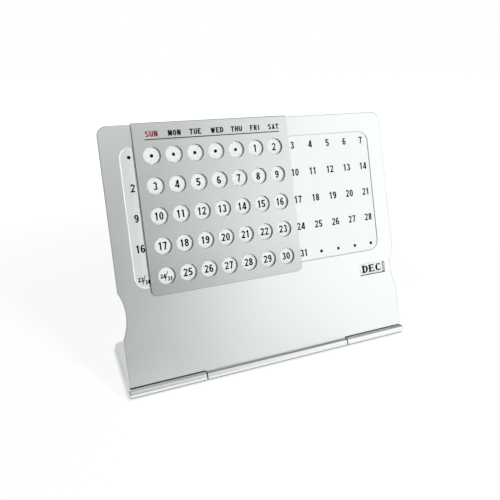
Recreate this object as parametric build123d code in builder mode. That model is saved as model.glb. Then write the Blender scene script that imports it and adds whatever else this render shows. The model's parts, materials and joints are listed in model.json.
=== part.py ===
from build123d import *
import os
from math import cos, radians, sin

os.makedirs("parts", exist_ok=True)

# Folding desk calendar, in millimetres. +X runs along the hinge to the viewer's right, +Y goes back and
# +Z is up. The origin is on the desk, under the middle of the part.

# Date grid: holes and printed dates share these pitches
column_pitch = 9.0
row_pitch = 12.1
date_columns = 13
slide_columns = 7
slide_rows = 5
rest_column = 1
date_grid_shift = -0.35
date_row_rise = 68.3

# Front leaf, with heights taken up the leaf from the hinge axis
leaf_width = 131.0
leaf_rise = 105.3
leaf_thickness = 0.8
leaf_corner = 4.0
leaf_edge_round = 0.35
leaf_angle = 72.0
notch_chord = 18.8
notch_depth = 2.2
notch_rise = 30.8
notch_blend = 1.5

# Hem: the leaf's lower edge turned back beside the centre knuckle, so that the hinge's slot is closed behind
hem_depth = 1.45
hem_height = 1.8
hem_clearance = 0.15
hem_inset = 0.2

# Sunk date panel
panel_side_margin = 7.65
panel_height = 56.6
panel_rise = 68.5
panel_corner = 4.8
panel_depth = 0.25
panel_slope = 0.4

# Month window and the disc behind it
window_width = 13.5
window_height = 5.0
window_side_inset = 12.65
window_rise = 31.5
window_edge_round = 0.35
disc_side_inset = 27.3
disc_rise = 31.6
disc_radius = 26.4
disc_thickness = 0.5
disc_gap = 0.15
disc_grips = 60
grip_radius = 0.7
grip_depth = 0.35

# Stud, washer and clip that carry the disc
stud_radius = 1.5
stud_head_radius = 2.5
stud_pocket = 0.4
stud_end = 0.3
running_clearance = 0.05
washer_radius = 3.6
washer_thickness = 0.2
washer_dish = 0.25
clip_radius = 4.0
clip_thickness = 0.4
clip_slots = 6
clip_slot_width = 0.6
clip_slot_reach = 1.0

# Hinge
pin_radius = 0.9
pin_head_radius = 1.6
pin_head_height = 0.5
pin_head_dome = 0.35
knuckle_wall = 0.95
knuckle_clearance = 0.42
knuckle_gap = 0.5
knuckle_split = 34.0
knuckle_end_round = 0.3
slot_corner = 0.6

# Base plate, with depths taken back from the hinge axis
base_depth = 42.0
base_thickness = 1.0
base_drop = 1.3
base_lip = 0.4
base_corner = 3.0
base_edge_break = 0.2
hinge_relief_corner = 1.0

# Pads under the base
pad_radius = 4.0
pad_thickness = 0.8
pad_edge = 0.25
pad_side_inset = 9.0
pad_end_inset = 7.0

# Date slide
slide_width = 67.8
slide_foot = 36.6
slide_thickness = 0.4
slide_gap = 0.3
slide_corner = 2.5
slide_bend = 0.6
slide_edge_break = 0.1
hole_radius = 3.5
hook_length = 6.0
hook_top_clearance = 0.05
hook_back_clearance = 0.15

# Glide strips behind the slide's lower edge
glide_width = 12.0
glide_height = 2.4
glide_inset = 6.0
glide_lift = 0.7

overrun = 1.0

# Sizes that follow from the ones above
knuckle_bore = pin_radius + running_clearance
knuckle_radius = knuckle_bore + knuckle_wall
knuckle_room = knuckle_radius + knuckle_clearance
leaf_knuckle_half = knuckle_split - knuckle_gap / 2
base_knuckle_start = knuckle_split + knuckle_gap / 2
hem_room = knuckle_radius + hem_clearance
hem_top = knuckle_room + hem_height
hem_length = leaf_width / 2 - hem_inset - leaf_knuckle_half
hinge_y = (knuckle_radius - base_depth) / 2
hinge_z = pad_thickness + base_thickness + base_drop
panel_width = leaf_width - 2 * panel_side_margin
window_x = leaf_width / 2 - window_side_inset
disc_x = leaf_width / 2 - disc_side_inset
notch_radius = (notch_chord**2 / 4 + notch_depth**2) / (2 * notch_depth)
slide_x = date_grid_shift + (rest_column - (date_columns - slide_columns) / 2) * column_pitch
disc_front = leaf_thickness + disc_gap
disc_back = disc_front + disc_thickness
washer_front = disc_back + running_clearance
clip_front = washer_front + washer_thickness + washer_dish + running_clearance
stud_back = clip_front + clip_thickness + stud_end

# Planes: the leaf's front face, a section across the leaf and a section across the base,
# all through the hinge axis. In the leaf section, X is depth behind the face and Y is up the leaf.
lean_cos = cos(radians(leaf_angle))
lean_sin = sin(radians(leaf_angle))
hinge_point = (0, hinge_y, hinge_z)
leaf_plane = Plane(origin=hinge_point, x_dir=(1, 0, 0), z_dir=(0, -lean_sin, lean_cos))
leaf_section = Plane(origin=hinge_point, x_dir=(0, lean_sin, -lean_cos), z_dir=(1, 0, 0))
base_section = Plane(origin=hinge_point, x_dir=(0, 1, 0), z_dir=(1, 0, 0))
leaf_normal = Axis(leaf_plane.origin, leaf_plane.z_dir)
base_end = base_section.offset(-leaf_width / 2)
slide_section = leaf_section.offset(slide_x)
disc_centre = leaf_plane.from_local_coords((disc_x, disc_rise, 0))
disc_section = Plane(origin=disc_centre, x_dir=leaf_section.x_dir, z_dir=leaf_section.z_dir)


def behind_leaf(depth):
    """Plane parallel to the leaf's face, at a depth behind it."""
    return leaf_plane.offset(-depth)


def save(piece, name):
    """Label a finished piece and write it under its node's name."""
    piece.part.label = name
    export_step(piece.part, f"parts/{name}.step")


# Front leaf
with BuildPart() as front_leaf:
    with BuildSketch(leaf_plane) as leaf_outline:
        with Locations((0, (leaf_rise + knuckle_room) / 2)):
            Rectangle(leaf_width, leaf_rise - knuckle_room)
        fillet(leaf_outline.vertices().group_by(Axis.Y)[-1], leaf_corner)
        notch_middle = leaf_width / 2 - notch_depth + notch_radius
        with Locations((-notch_middle, notch_rise), (notch_middle, notch_rise)):
            Circle(notch_radius, mode=Mode.SUBTRACT)
        notch_corners = leaf_outline.vertices().filter_by(
            lambda corner: abs(corner.Y - notch_rise) < notch_chord
        )
        fillet(notch_corners, notch_blend)
        with Locations((0, knuckle_room / 2)):
            Rectangle(2 * leaf_knuckle_half, knuckle_room)
        foot_corners = leaf_outline.vertices().group_by(Axis.Y)[1]
        fillet(foot_corners.sort_by(lambda corner: abs(corner.X))[:2], slot_corner)
    extrude(amount=-leaf_thickness)
    rim_edges = ShapeList()
    for face in (front_leaf.faces().sort_by(leaf_normal)[-1], front_leaf.faces().sort_by(leaf_normal)[0]):
        rim_edges += face.edges().filter_by(
            lambda edge: leaf_plane.to_local_coords(edge.center()).Y > knuckle_room + leaf_thickness
        )
    fillet(rim_edges, leaf_edge_round)
    with BuildSketch(leaf_section):
        Circle(knuckle_radius)
    extrude(amount=leaf_knuckle_half, both=True)
    with BuildSketch(leaf_section):
        Circle(knuckle_bore)
    extrude(amount=leaf_knuckle_half + overrun, both=True, mode=Mode.SUBTRACT)
    # Hem behind each end of the lower edge, hollowed to clear the base's knuckle
    for start in (leaf_knuckle_half, -leaf_knuckle_half - hem_length):
        with BuildSketch(leaf_section.offset(start)):
            with BuildLine():
                Polyline(
                    (leaf_thickness / 2, knuckle_room),
                    (leaf_thickness / 2, hem_top),
                    (hem_depth, hem_top),
                    (hem_depth, 0),
                    (leaf_thickness, 0),
                    (leaf_thickness, knuckle_room),
                    close=True,
                )
            make_face()
            Circle(hem_room, mode=Mode.SUBTRACT)
        extrude(amount=hem_length)
    # Sunk panel with a sloped edge
    with BuildSketch(leaf_plane):
        with Locations((date_grid_shift, panel_rise)):
            RectangleRounded(panel_width, panel_height, panel_corner)
    with BuildSketch(behind_leaf(panel_depth)):
        with Locations((date_grid_shift, panel_rise)):
            RectangleRounded(
                panel_width - 2 * panel_slope, panel_height - 2 * panel_slope, panel_corner - panel_slope
            )
    loft(mode=Mode.SUBTRACT)
    # Month window, with the front edge rolled over as a punch leaves it
    with BuildSketch(leaf_plane):
        with Locations((window_x, window_rise)):
            Rectangle(window_width, window_height)
    extrude(amount=leaf_thickness + overrun, both=True, mode=Mode.SUBTRACT)
    fillet(front_leaf.edges(Select.LAST).group_by(leaf_normal)[-1], window_edge_round)
    # Blind pocket in the back for the stud's head
    with BuildSketch(behind_leaf(leaf_thickness - stud_pocket)):
        with Locations((disc_x, disc_rise)):
            Circle(stud_head_radius)
    extrude(amount=-stud_pocket - overrun, mode=Mode.SUBTRACT)
save(front_leaf, "front_leaf")

# Base plate: the sheet, the barrel with rounded ends, then the room for the leaf's knuckle
with BuildPart() as base_plate:
    with BuildSketch(base_end):
        with Locations(((base_depth + base_lip) / 2, -base_drop - base_thickness / 2)):
            Rectangle(base_depth - base_lip, base_thickness)
    extrude(amount=leaf_width)
    rear_corners = base_plate.edges().filter_by(Axis.Z).group_by(Axis.Y)[-1]
    fillet(rear_corners, base_corner)
    rear_face_edges = base_plate.faces().sort_by(Axis.Y)[-1].edges().filter_by(Axis.X)
    chamfer(rear_face_edges, base_edge_break)
    with BuildPart(mode=Mode.PRIVATE) as barrel:
        with BuildSketch(base_end):
            Circle(knuckle_radius)
        extrude(amount=leaf_width)
        fillet(barrel.edges().filter_by(GeomType.CIRCLE), knuckle_end_round)
    add(barrel.part)
    relief_width = 2 * base_knuckle_start
    relief_front = -knuckle_radius - overrun
    with BuildSketch(Plane.XY.offset(-overrun)) as hinge_relief:
        with Locations((0, hinge_y + (knuckle_room + relief_front) / 2)):
            Rectangle(relief_width, knuckle_room - relief_front)
        fillet(hinge_relief.vertices().group_by(Axis.Y)[-1], hinge_relief_corner)
    extrude(amount=hinge_z + knuckle_radius + 2 * overrun, mode=Mode.SUBTRACT)
    with BuildSketch(base_section):
        Circle(pin_radius)
    extrude(amount=leaf_width / 2 + overrun, both=True, mode=Mode.SUBTRACT)
save(base_plate, "base_plate")

# Hinge pin with a domed head at each end
with BuildPart() as hinge_pin:
    with BuildSketch(base_section):
        Circle(pin_radius)
    extrude(amount=leaf_width / 2, both=True)
    for side in (-1, 1):
        with BuildSketch(base_section.offset(side * leaf_width / 2)):
            Circle(pin_head_radius)
        extrude(amount=side * pin_head_height)
    head_rims = hinge_pin.edges().filter_by(GeomType.CIRCLE).group_by(Axis.X)
    fillet(head_rims[0] + head_rims[-1], pin_head_dome)
save(hinge_pin, "hinge_pin")

# Pads under the base's corners
pad_x = leaf_width / 2 - pad_side_inset
pad_front = hinge_y + pad_end_inset
pad_rear = hinge_y + base_depth - pad_end_inset
pad_places = [(-pad_x, pad_front), (pad_x, pad_front), (-pad_x, pad_rear), (pad_x, pad_rear)]
for number, place in enumerate(pad_places, start=1):
    with BuildPart() as foot_pad:
        with BuildSketch(Plane.XY):
            with Locations(place):
                Circle(pad_radius)
        extrude(amount=pad_thickness)
        fillet(foot_pad.faces().sort_by(Axis.Z)[0].edges(), pad_edge)
    save(foot_pad, f"foot_pad_{number}")

# Date slide: a hook section along the hinge's direction, then the punched holes
slide_top = leaf_rise + hook_top_clearance + slide_thickness
hook_back = leaf_thickness + hook_back_clearance + slide_thickness
slide_face = -slide_gap - slide_thickness
with BuildPart() as date_slide:
    with BuildSketch(slide_section) as hook_outline:
        with Locations((slide_face + slide_thickness / 2, (slide_top + slide_foot) / 2)):
            Rectangle(slide_thickness, slide_top - slide_foot)
        with Locations(((hook_back + slide_face) / 2, slide_top - slide_thickness / 2)):
            Rectangle(hook_back - slide_face, slide_thickness)
        with Locations((hook_back - slide_thickness / 2, slide_top - hook_length / 2)):
            Rectangle(slide_thickness, hook_length)
        fillet(hook_outline.vertices().group_by(Axis.Y)[-1], slide_bend)
    extrude(amount=slide_width / 2, both=True)
    slide_corners = date_slide.edges().filter_by(leaf_normal)
    fillet(slide_corners.sort_by(Axis.Z)[:2], slide_corner)
    with BuildSketch(leaf_plane.offset(slide_gap - running_clearance)):
        with Locations((slide_x, date_row_rise)):
            with GridLocations(column_pitch, row_pitch, slide_columns, slide_rows):
                Circle(hole_radius)
    extrude(amount=slide_thickness + 2 * running_clearance, mode=Mode.SUBTRACT)
    front_face = date_slide.faces().sort_by(leaf_normal)[-1]
    top_edge = front_face.edges().filter_by(Axis.X).sort_by(Axis.Z)[-1]
    chamfer([edge for edge in front_face.edges() if edge != top_edge], slide_edge_break)
save(date_slide, "date_slide")

# Glide strips, which ride on the leaf's face below the date panel
glide_thickness = slide_gap - running_clearance
glide_reach = slide_width / 2 - glide_inset - glide_width / 2
for name, place in (("glide_left", slide_x - glide_reach), ("glide_right", slide_x + glide_reach)):
    with BuildPart() as glide:
        with BuildSketch(leaf_plane.offset(slide_gap)):
            with Locations((place, slide_foot + glide_lift + glide_height / 2)):
                RectangleRounded(glide_width, glide_height, glide_height / 4)
        extrude(amount=-glide_thickness)
    save(glide, name)

# Month disc, with a row of shallow grips round its rim
with BuildPart() as month_disc:
    with BuildSketch(behind_leaf(disc_front)):
        with Locations((disc_x, disc_rise)):
            Circle(disc_radius)
            with PolarLocations(disc_radius + grip_radius - grip_depth, disc_grips):
                Circle(grip_radius, mode=Mode.SUBTRACT)
            Circle(stud_radius + running_clearance, mode=Mode.SUBTRACT)
    extrude(amount=-disc_thickness)
save(month_disc, "month_disc")

# Stud: a head in the leaf's pocket, a shoulder that spaces the disc and a shaft
with BuildPart() as pivot_stud:
    with BuildSketch(behind_leaf(leaf_thickness - stud_pocket)):
        with Locations((disc_x, disc_rise)):
            Circle(stud_head_radius)
    extrude(amount=-stud_pocket - disc_gap + running_clearance)
    with BuildSketch(behind_leaf(leaf_thickness)):
        with Locations((disc_x, disc_rise)):
            Circle(stud_radius)
    extrude(amount=leaf_thickness - stud_back)
save(pivot_stud, "pivot_stud")

# Dished washer between the disc and the clip
washer_bore = stud_radius + 2 * running_clearance
with BuildPart() as spring_washer:
    with BuildSketch(disc_section):
        with BuildLine():
            Polyline(
                (washer_front + washer_dish, washer_bore),
                (washer_front, washer_radius),
                (washer_front + washer_thickness, washer_radius),
                (washer_front + washer_dish + washer_thickness, washer_bore),
                close=True,
            )
        make_face()
    revolve(axis=Axis(disc_centre, leaf_plane.z_dir))
save(spring_washer, "spring_washer")

# Push-on clip with spring teeth round its bore
with BuildPart() as retaining_clip:
    with BuildSketch(behind_leaf(clip_front)):
        with Locations((disc_x, disc_rise)):
            Circle(clip_radius)
            with PolarLocations(stud_radius + clip_slot_reach / 2, clip_slots):
                Rectangle(clip_slot_reach + stud_radius / 2, clip_slot_width, mode=Mode.SUBTRACT)
            Circle(stud_radius, mode=Mode.SUBTRACT)
    extrude(amount=-clip_thickness)
save(retaining_clip, "retaining_clip")
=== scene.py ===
import json
from functools import cached_property
from math import pi, radians

import bmesh
import bpy
from bpy.props import FloatProperty, FloatVectorProperty, PointerProperty
from mathutils import Euler, Matrix, Vector


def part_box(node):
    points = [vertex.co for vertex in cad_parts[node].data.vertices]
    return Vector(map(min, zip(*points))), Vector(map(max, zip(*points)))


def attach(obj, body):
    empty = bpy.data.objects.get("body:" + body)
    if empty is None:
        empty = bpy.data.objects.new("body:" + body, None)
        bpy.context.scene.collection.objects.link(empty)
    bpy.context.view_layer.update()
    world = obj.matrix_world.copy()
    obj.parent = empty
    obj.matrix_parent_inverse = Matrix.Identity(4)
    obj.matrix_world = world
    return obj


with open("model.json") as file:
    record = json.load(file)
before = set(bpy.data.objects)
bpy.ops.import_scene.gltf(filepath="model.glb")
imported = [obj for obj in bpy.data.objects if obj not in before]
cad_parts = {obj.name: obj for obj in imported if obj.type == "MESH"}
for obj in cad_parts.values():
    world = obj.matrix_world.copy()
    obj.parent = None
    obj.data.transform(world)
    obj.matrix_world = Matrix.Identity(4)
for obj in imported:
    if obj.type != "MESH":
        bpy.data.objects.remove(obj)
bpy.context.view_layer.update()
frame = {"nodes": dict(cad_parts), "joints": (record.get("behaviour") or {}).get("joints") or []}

bl_info = {
    "name": "Folding desk calendar",
    "version": (1, 0, 0),
    "blender": (4, 5, 0),
    "location": "3D View > Sidebar > Calendar",
    "description": "Prints, finishes and stages a folding metal desk calendar",
    "category": "Object",
}

# The leaf's own axes, from the joints: along the hinge, up the leaf and out of its front face
joints = {joint["name"]: joint for joint in frame["joints"]}
hinge_point = Vector(joints["leaf_fold"]["pos_m"])
disc_point = Vector(joints["month_turn"]["pos_m"])
along = Vector(joints["date_shift"]["axis"])
out = Vector(joints["month_turn"]["axis"]).normalized()
up_leaf = out.cross(along)
leaf_axes = Matrix((along, up_leaf, out)).transposed().to_4x4()
leaf_place = Matrix.Translation(hinge_point) @ leaf_axes
disc_place = Matrix.Translation(disc_point) @ leaf_axes

# All lengths are in metres. Rises are measured up the leaf from the hinge's axis.

# Date grid
COLUMN_PITCH = 0.009
ROW_PITCH = 0.0121
DATE_COLUMNS = 13
DATE_ROWS = 5
DAYS_IN_WEEK = 7
LONGEST_MONTH = 31
FIRST_DATE = -5
GRID_SHIFT = -0.00035
MIDDLE_ROW_RISE = 0.0683
LAST_DOT_DROP = 0.00045

# Outline of the leaf, with the width of the band along its edges that is painted darker as shade
LEAF_HALF_WIDTH = 0.0655
LEAF_TOP = 0.1053
LEAF_CORNER = 0.004
NOTCH_RADIUS = 0.02118
NOTCH_MIDDLE = (0.08448, 0.0308)
EDGE_WIDTH = 0.0005

# Sunk date panel, with the stretches over which its floor goes over from dull to light and its sloped step
# from painted shade to a painted highlight
PANEL_RISE = 0.0685
PANEL_DEPTH = 0.00025
PANEL_HALF_WIDTH = 0.0575
PANEL_HALF_HEIGHT = 0.0279
PANEL_SLOPE_REACH = 0.0004
PANEL_FADE = (-0.056, -0.05)
PANEL_FADE_SHARE = 0.78
STEP_FADE = (-0.0475, -0.0535)
STEP_FADE_SLANT = 0.16
DEPTH_SLACK = 0.00002

# Hinge barrel, the corner where the centre knuckle leaves the leaf, the slot over its end knuckles and the
# splits between its knuckles, all three painted darker as shade
BARREL_REACH = 0.00195
KNUCKLE_CORNER_RISE = 0.0012
SLOT_RISE = 0.00235
SLOT_DEPTHS = (0.00003, 0.00144)
SPLIT_SIDE = 0.034
SPLIT_HALF_WIDTH = 0.0003
SPLIT_REACH = 0.00188

# Month window
WINDOW_MIDDLE = (0.05285, 0.0315)
WINDOW_HALVES = (0.0072, 0.0029)
WINDOW_HALF_OPENING = 0.00247
WINDOW_ROLL = 0.0003

# Date slide: its outline, the stretch over which the shade painted at its foot goes over to full lightness,
# and how steep its rims are, which are painted dark as shade
SLIDE_FOOT = 0.0366
SLIDE_CORNER = 0.0025
SLIDE_FOOT_SHADE = (0.032, 0.064)
HOOK_RISE = 0.104
RIM_STEEPNESS = 0.6
BREAK_STEEPNESS = 0.85
LEFTWARD_SHARE = 0.3

# Words, with how far each weekday stands to the right of its column's middle
WEEKDAYS = ("SUN", "MON", "TUE", "WED", "THU", "FRI", "SAT")
WEEKDAY_SHIFTS = (0.0008, 0.0012, 0.00105, 0.0014, 0.00115, 0.00055, 0.00035)
LINE_SHIFT = 0.00037
MONTHS = ("JAN", "FEB", "MAR", "APR", "MAY", "JUN", "JUL", "AUG", "SEP", "OCT", "NOV", "DEC")

# Strokes of each sign, in shares of its box. A stem stands at x from y to y, an arm lies at y from x to x,
# a slant or a thin slant runs from point to point, a bowl is the part of an oval in a box from one angle
# to another, and a beak or foot is drawn only in a lettering that has serifs.
SIGNS = {
    "0": [("bowl", 0, 0, 1, 1, 0, 360)],
    "1": [("stem", 0.62, 0, 1), ("slant", 0.12, 0.74, 0.62, 0.95)],
    "2": [("bowl", 0, 0.42, 1, 1, -32, 168), ("slant", 0.12, 0.06, 0.84, 0.56), ("arm", 0, 0, 1)],
    "3": [("bowl", 0.04, 0.46, 0.97, 1, -90, 160), ("bowl", 0, 0, 1, 0.56, -160, 90)],
    "4": [("thin", 0, 0.26, 0.7, 0.98), ("arm", 0.24, 0, 1), ("stem", 0.82, 0, 1)],
    "5": [("arm", 1, 0.12, 0.94), ("stem", 0.08, 0.46, 1), ("bowl", 0, 0, 1, 0.64, -160, 140)],
    "6": [("bowl", 0, 0, 1, 0.62, 0, 360), ("bowl", 0, 0, 1.02, 1, 42, 190)],
    "7": [("arm", 1, 0, 1), ("slant", 0.34, 0, 0.88, 0.94)],
    "8": [("bowl", 0.04, 0.46, 0.96, 1, 0, 360), ("bowl", 0, 0, 1, 0.56, 0, 360)],
    "9": [("bowl", 0, 0.38, 1, 1, 0, 360), ("bowl", -0.02, 0, 1, 1, -138, 10)],
    "A": [("thin", 0.1, 0, 0.5, 1), ("slant", 0.9, 0, 0.5, 1), ("arm", 0.28, 0.22, 0.78),
          ("foot", 0.1, 0), ("foot", 0.9, 0)],
    "B": [("stem", 0, 0, 1), ("arm", 1, 0, 0.5), ("arm", 0.52, 0, 0.5), ("arm", 0, 0, 0.5),
          ("bowl", 0.1, 0.46, 0.92, 1, -90, 90), ("bowl", 0, 0, 1, 0.56, -90, 90)],
    "C": [("bowl", 0, 0, 1.05, 1, 48, 312), ("beak", 0.92, 0.68, 0.97), ("beak", 0.92, 0.03, 0.3)],
    "D": [("stem", 0, 0, 1), ("arm", 1, 0, 0.45), ("arm", 0, 0, 0.45), ("bowl", -0.2, 0, 1, 1, -90, 90)],
    "E": [("stem", 0, 0, 1), ("arm", 1, 0, 0.9), ("arm", 0.5, 0, 0.72), ("arm", 0, 0, 0.96),
          ("beak", 0.9, 0.72, 1), ("beak", 0.72, 0.36, 0.66), ("beak", 0.96, 0, 0.28)],
    "F": [("stem", 0, 0, 1), ("arm", 1, 0, 0.92), ("arm", 0.5, 0, 0.72),
          ("beak", 0.92, 0.72, 1), ("beak", 0.72, 0.36, 0.66)],
    "G": [("bowl", 0, 0, 1.05, 1, 48, 318), ("stem", 1, 0.1, 0.46), ("arm", 0.44, 0.6, 1),
          ("beak", 0.92, 0.68, 0.97)],
    "H": [("stem", 0, 0, 1), ("stem", 1, 0, 1), ("arm", 0.52, 0, 1)],
    "I": [("stem", 0.5, 0, 1)],
    "J": [("stem", 0.9, 0.3, 1), ("bowl", 0, 0, 0.93, 0.6, 190, 360)],
    "L": [("stem", 0, 0, 1), ("arm", 0, 0, 0.96), ("beak", 0.96, 0, 0.3)],
    "M": [("stem", 0, 0, 1), ("stem", 1, 0, 1), ("slant", 0.12, 1, 0.5, 0.1), ("thin", 0.88, 1, 0.5, 0.1)],
    "N": [("stem", 0, 0, 1), ("stem", 1, 0, 1), ("slant", 0.12, 1, 0.88, 0)],
    "O": [("bowl", 0, 0, 1, 1, 0, 360)],
    "P": [("stem", 0, 0, 1), ("arm", 1, 0, 0.5), ("arm", 0.46, 0, 0.5), ("bowl", 0, 0.4, 0.96, 1, -90, 90)],
    "R": [("stem", 0, 0, 1), ("arm", 1, 0, 0.5), ("arm", 0.5, 0, 0.5), ("bowl", 0, 0.44, 0.94, 1, -90, 90),
          ("slant", 0.86, 0, 0.52, 0.52), ("foot", 0.9, 0)],
    "S": [("bowl", 0.02, 0.46, 0.98, 1, 28, 270), ("bowl", 0, 0, 1, 0.56, -152, 90),
          ("beak", 0.86, 0.7, 0.97), ("beak", 0.1, 0.03, 0.3)],
    "T": [("stem", 0.5, 0, 1), ("arm", 1, 0, 1), ("beak", 0.04, 0.72, 1), ("beak", 0.96, 0.72, 1)],
    "U": [("stem", 0, 0.34, 1), ("stem", 1, 0.34, 1), ("bowl", 0, 0, 1, 0.7, 180, 360)],
    "V": [("slant", 0.1, 1, 0.5, 0), ("thin", 0.9, 1, 0.5, 0), ("foot", 0.1, 1), ("foot", 0.9, 1)],
    "W": [("slant", 0.06, 1, 0.28, 0), ("slant", 0.5, 0.9, 0.28, 0),
          ("slant", 0.5, 0.9, 0.72, 0), ("slant", 0.94, 1, 0.72, 0)],
    "Y": [("slant", 0.1, 1, 0.5, 0.42), ("thin", 0.9, 1, 0.5, 0.42), ("stem", 0.5, 0, 0.5),
          ("foot", 0.1, 1), ("foot", 0.9, 1)],
}
WIDE_SIGNS = {"M": 1.14, "W": 1.42, "I": 0.5, "1": 0.9, "4": 1.1}
BOWL_STEPS_FULL_TURN = 40
BOWL_STEPS_LEAST = 6
DOT_SIDES = 28

# Letterings: width, side and cap strokes, serif reach and gap, all in shares of the sign's height
BLOCK_DIGITS = {"width": 0.55, "side": 0.2, "cap": 0.172, "serif": 0.0, "gap": 0.1}
SMALL_DIGITS = {"width": 0.56, "side": 0.3, "cap": 0.26, "serif": 0.0, "gap": 0.1}
BLOCK_WORDS = {"width": 0.655, "side": 0.24, "cap": 0.21, "serif": 0.0, "gap": 0.12}
SERIF_WORDS = {"width": 0.9, "side": 0.32, "cap": 0.14, "serif": 0.08, "gap": 0.15}
SERIF_THICKNESS = 0.8
SLANT_THINNING = 0.92

# Two small dates that share a place and the stroke between them, in shares of their height
HALF_DATE_PLACES = (Vector((-0.78, -0.05)), Vector((0.72, -0.75)))
HALF_STROKE = (Vector((-0.4, -1.15)), Vector((0.32, 0.95)))
HALF_STROKE_WIDTH = 0.17


def length_setting(name, description, default):
    """A length that a user can change."""
    return FloatProperty(name=name, description=description, default=default, unit="LENGTH")


def colour_setting(name, description, default):
    """A colour that a user can change."""
    return FloatVectorProperty(name=name, description=description, default=default, subtype="COLOR")


def brightness_setting(name, description, default):
    """A brightness that a user can change."""
    return FloatProperty(name=name, description=description, default=default)


class PrintSettings(bpy.types.PropertyGroup):
    """Sizes and inks of what is printed on the calendar."""

    date_height: length_setting("Date height", "Height of a printed date", 0.0032)
    dot_diameter: length_setting("Dot diameter", "Diameter of an empty day's dot", 0.00143)
    half_date_height: length_setting("Half date height", "Height of dates that share a place", 0.00178)
    head_height: length_setting("Weekday height", "Height of the weekday words", 0.0023)
    head_rise: length_setting("Weekday rise", "Words above the middle row of dates", 0.0328)
    line_width: length_setting("Line width", "Width of the line under the words", 0.0004)
    line_rise: length_setting("Line rise", "Line above the middle row of dates", 0.0306)
    line_half_length: length_setting("Half line length", "Half the length of the line", 0.0295)
    month_height: length_setting("Month height", "Height of the month words", 0.0035)
    month_reach: length_setting("Month reach", "From the disc's centre to a word", 0.0149)
    ink_thickness: length_setting("Ink thickness", "How far the print stands proud", 0.00002)
    black_ink: colour_setting("Black ink", "Dates and words", (0.006, 0.0065, 0.0065))
    red_ink: colour_setting("Red ink", "The Sunday word", (0.28, 0.024, 0.031))
    line_ink: colour_setting("Line ink", "The line under the words", (0.11, 0.012, 0.015))


class FinishSettings(bpy.types.PropertyGroup):
    """Colours of the calendar's materials."""

    leaf_metal: colour_setting("Leaf metal", "Satin aluminium of leaf and base", (0.91, 0.935, 0.925))
    # Painted shade: near black for the slot over the end knuckles, the barrel's splits and the month
    # window's lower edge
    slot_metal: colour_setting("Slot metal", "Dull sheared edge in the hinge's slot", (0.05, 0.052, 0.05))
    panel_paint: colour_setting("Panel", "Pale floor of the panel", (0.865, 0.889, 0.879))
    slide_metal: colour_setting("Slide metal", "Brushed aluminium of the date slide", (0.765, 0.795, 0.783))
    # Painted shade: near black on the slide's rims, their own dull tone darkened to stand in for the shade
    # along its edges and in its holes
    slide_rim: colour_setting("Slide rim", "Dull sheared rims of the date slide", (0.045, 0.046, 0.046))
    pin_metal: colour_setting("Pin steel", "Steel of pin and stud", (0.66, 0.67, 0.68))
    spring_metal: colour_setting("Spring steel", "Steel of washer and clip", (0.4, 0.4, 0.41))
    disc_sheet: colour_setting("Disc", "Sheet of the month disc", (0.84, 0.86, 0.85))
    glide_tape: colour_setting("Glides", "Tape behind the slide", (0.05, 0.05, 0.055))
    pad_rubber: colour_setting("Pads", "Rubber under the base", (0.025, 0.025, 0.026))


class StageSettings(bpy.types.PropertyGroup):
    """Camera, lamp and cards round the calendar."""

    camera_place: FloatVectorProperty(
        name="Camera", description="Place of the camera", default=(-0.086895, -0.190767, 0.13282),
        subtype="TRANSLATION",
    )
    camera_turn: FloatVectorProperty(
        name="Camera turn", description="Turn of the camera",
        default=(radians(70.2566), radians(-0.2661), radians(-22.7998)), subtype="EULER",
    )
    lens: FloatProperty(
        name="Lens", description="Focal length on a 36 mm frame", default=36.487, unit="CAMERA"
    )
    key_power: FloatProperty(
        name="Key power", description="Power of the key lamp", default=15.2, unit="POWER"
    )
    room_light: brightness_setting("Room light", "Strength of the even light", 0.23)
    wall_low: brightness_setting("Wall low", "Front wall at its left foot", 0.0)
    wall_high: brightness_setting("Wall high", "Front wall at its left top", 1.18)
    wall_right: brightness_setting("Wall right", "Front wall at the right", 1.2)
    low_card: brightness_setting("Low card", "Card on the floor", 0.68)
    right_floor_card: brightness_setting("Right floor card", "Card on the floor at the right", 0.96)
    # Painted shade: a dark card on the floor under the hinge, seen only in gloss, which the barrel shows as
    # its shade
    contact_card: brightness_setting("Contact card", "Floor right under the hinge", 0.21)
    side_card: brightness_setting("Side card", "Card far right", 0.38)
    top_card: brightness_setting("Top card", "Card overhead", 0.47)
    dark_card: brightness_setting("Dark card", "Card at the upper right", 0.12)
    left_card: brightness_setting("Left card", "Card at the left", 0.12)
    far_floor_card: brightness_setting("Far floor card", "Card on the floor behind, at the right", 0.3)
    back_card: brightness_setting("Back card", "Card behind", 0.72)


# Signs and print


def flat_quad(bm, corners):
    """One flat face from its four corners."""
    bm.faces.new([bm.verts.new((x, y, 0)) for x, y in corners])


def flat_bar(bm, left, low, right, high):
    """An upright rectangle from its lower left and upper right corners."""
    flat_quad(bm, [(left, low), (right, low), (right, high), (left, high)])


def flat_slant(bm, foot, head, width):
    """A slanted stroke whose ends lie level."""
    half = Vector((width / 2, 0))
    flat_quad(bm, [foot - half, foot + half, head + half, head - half])


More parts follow.
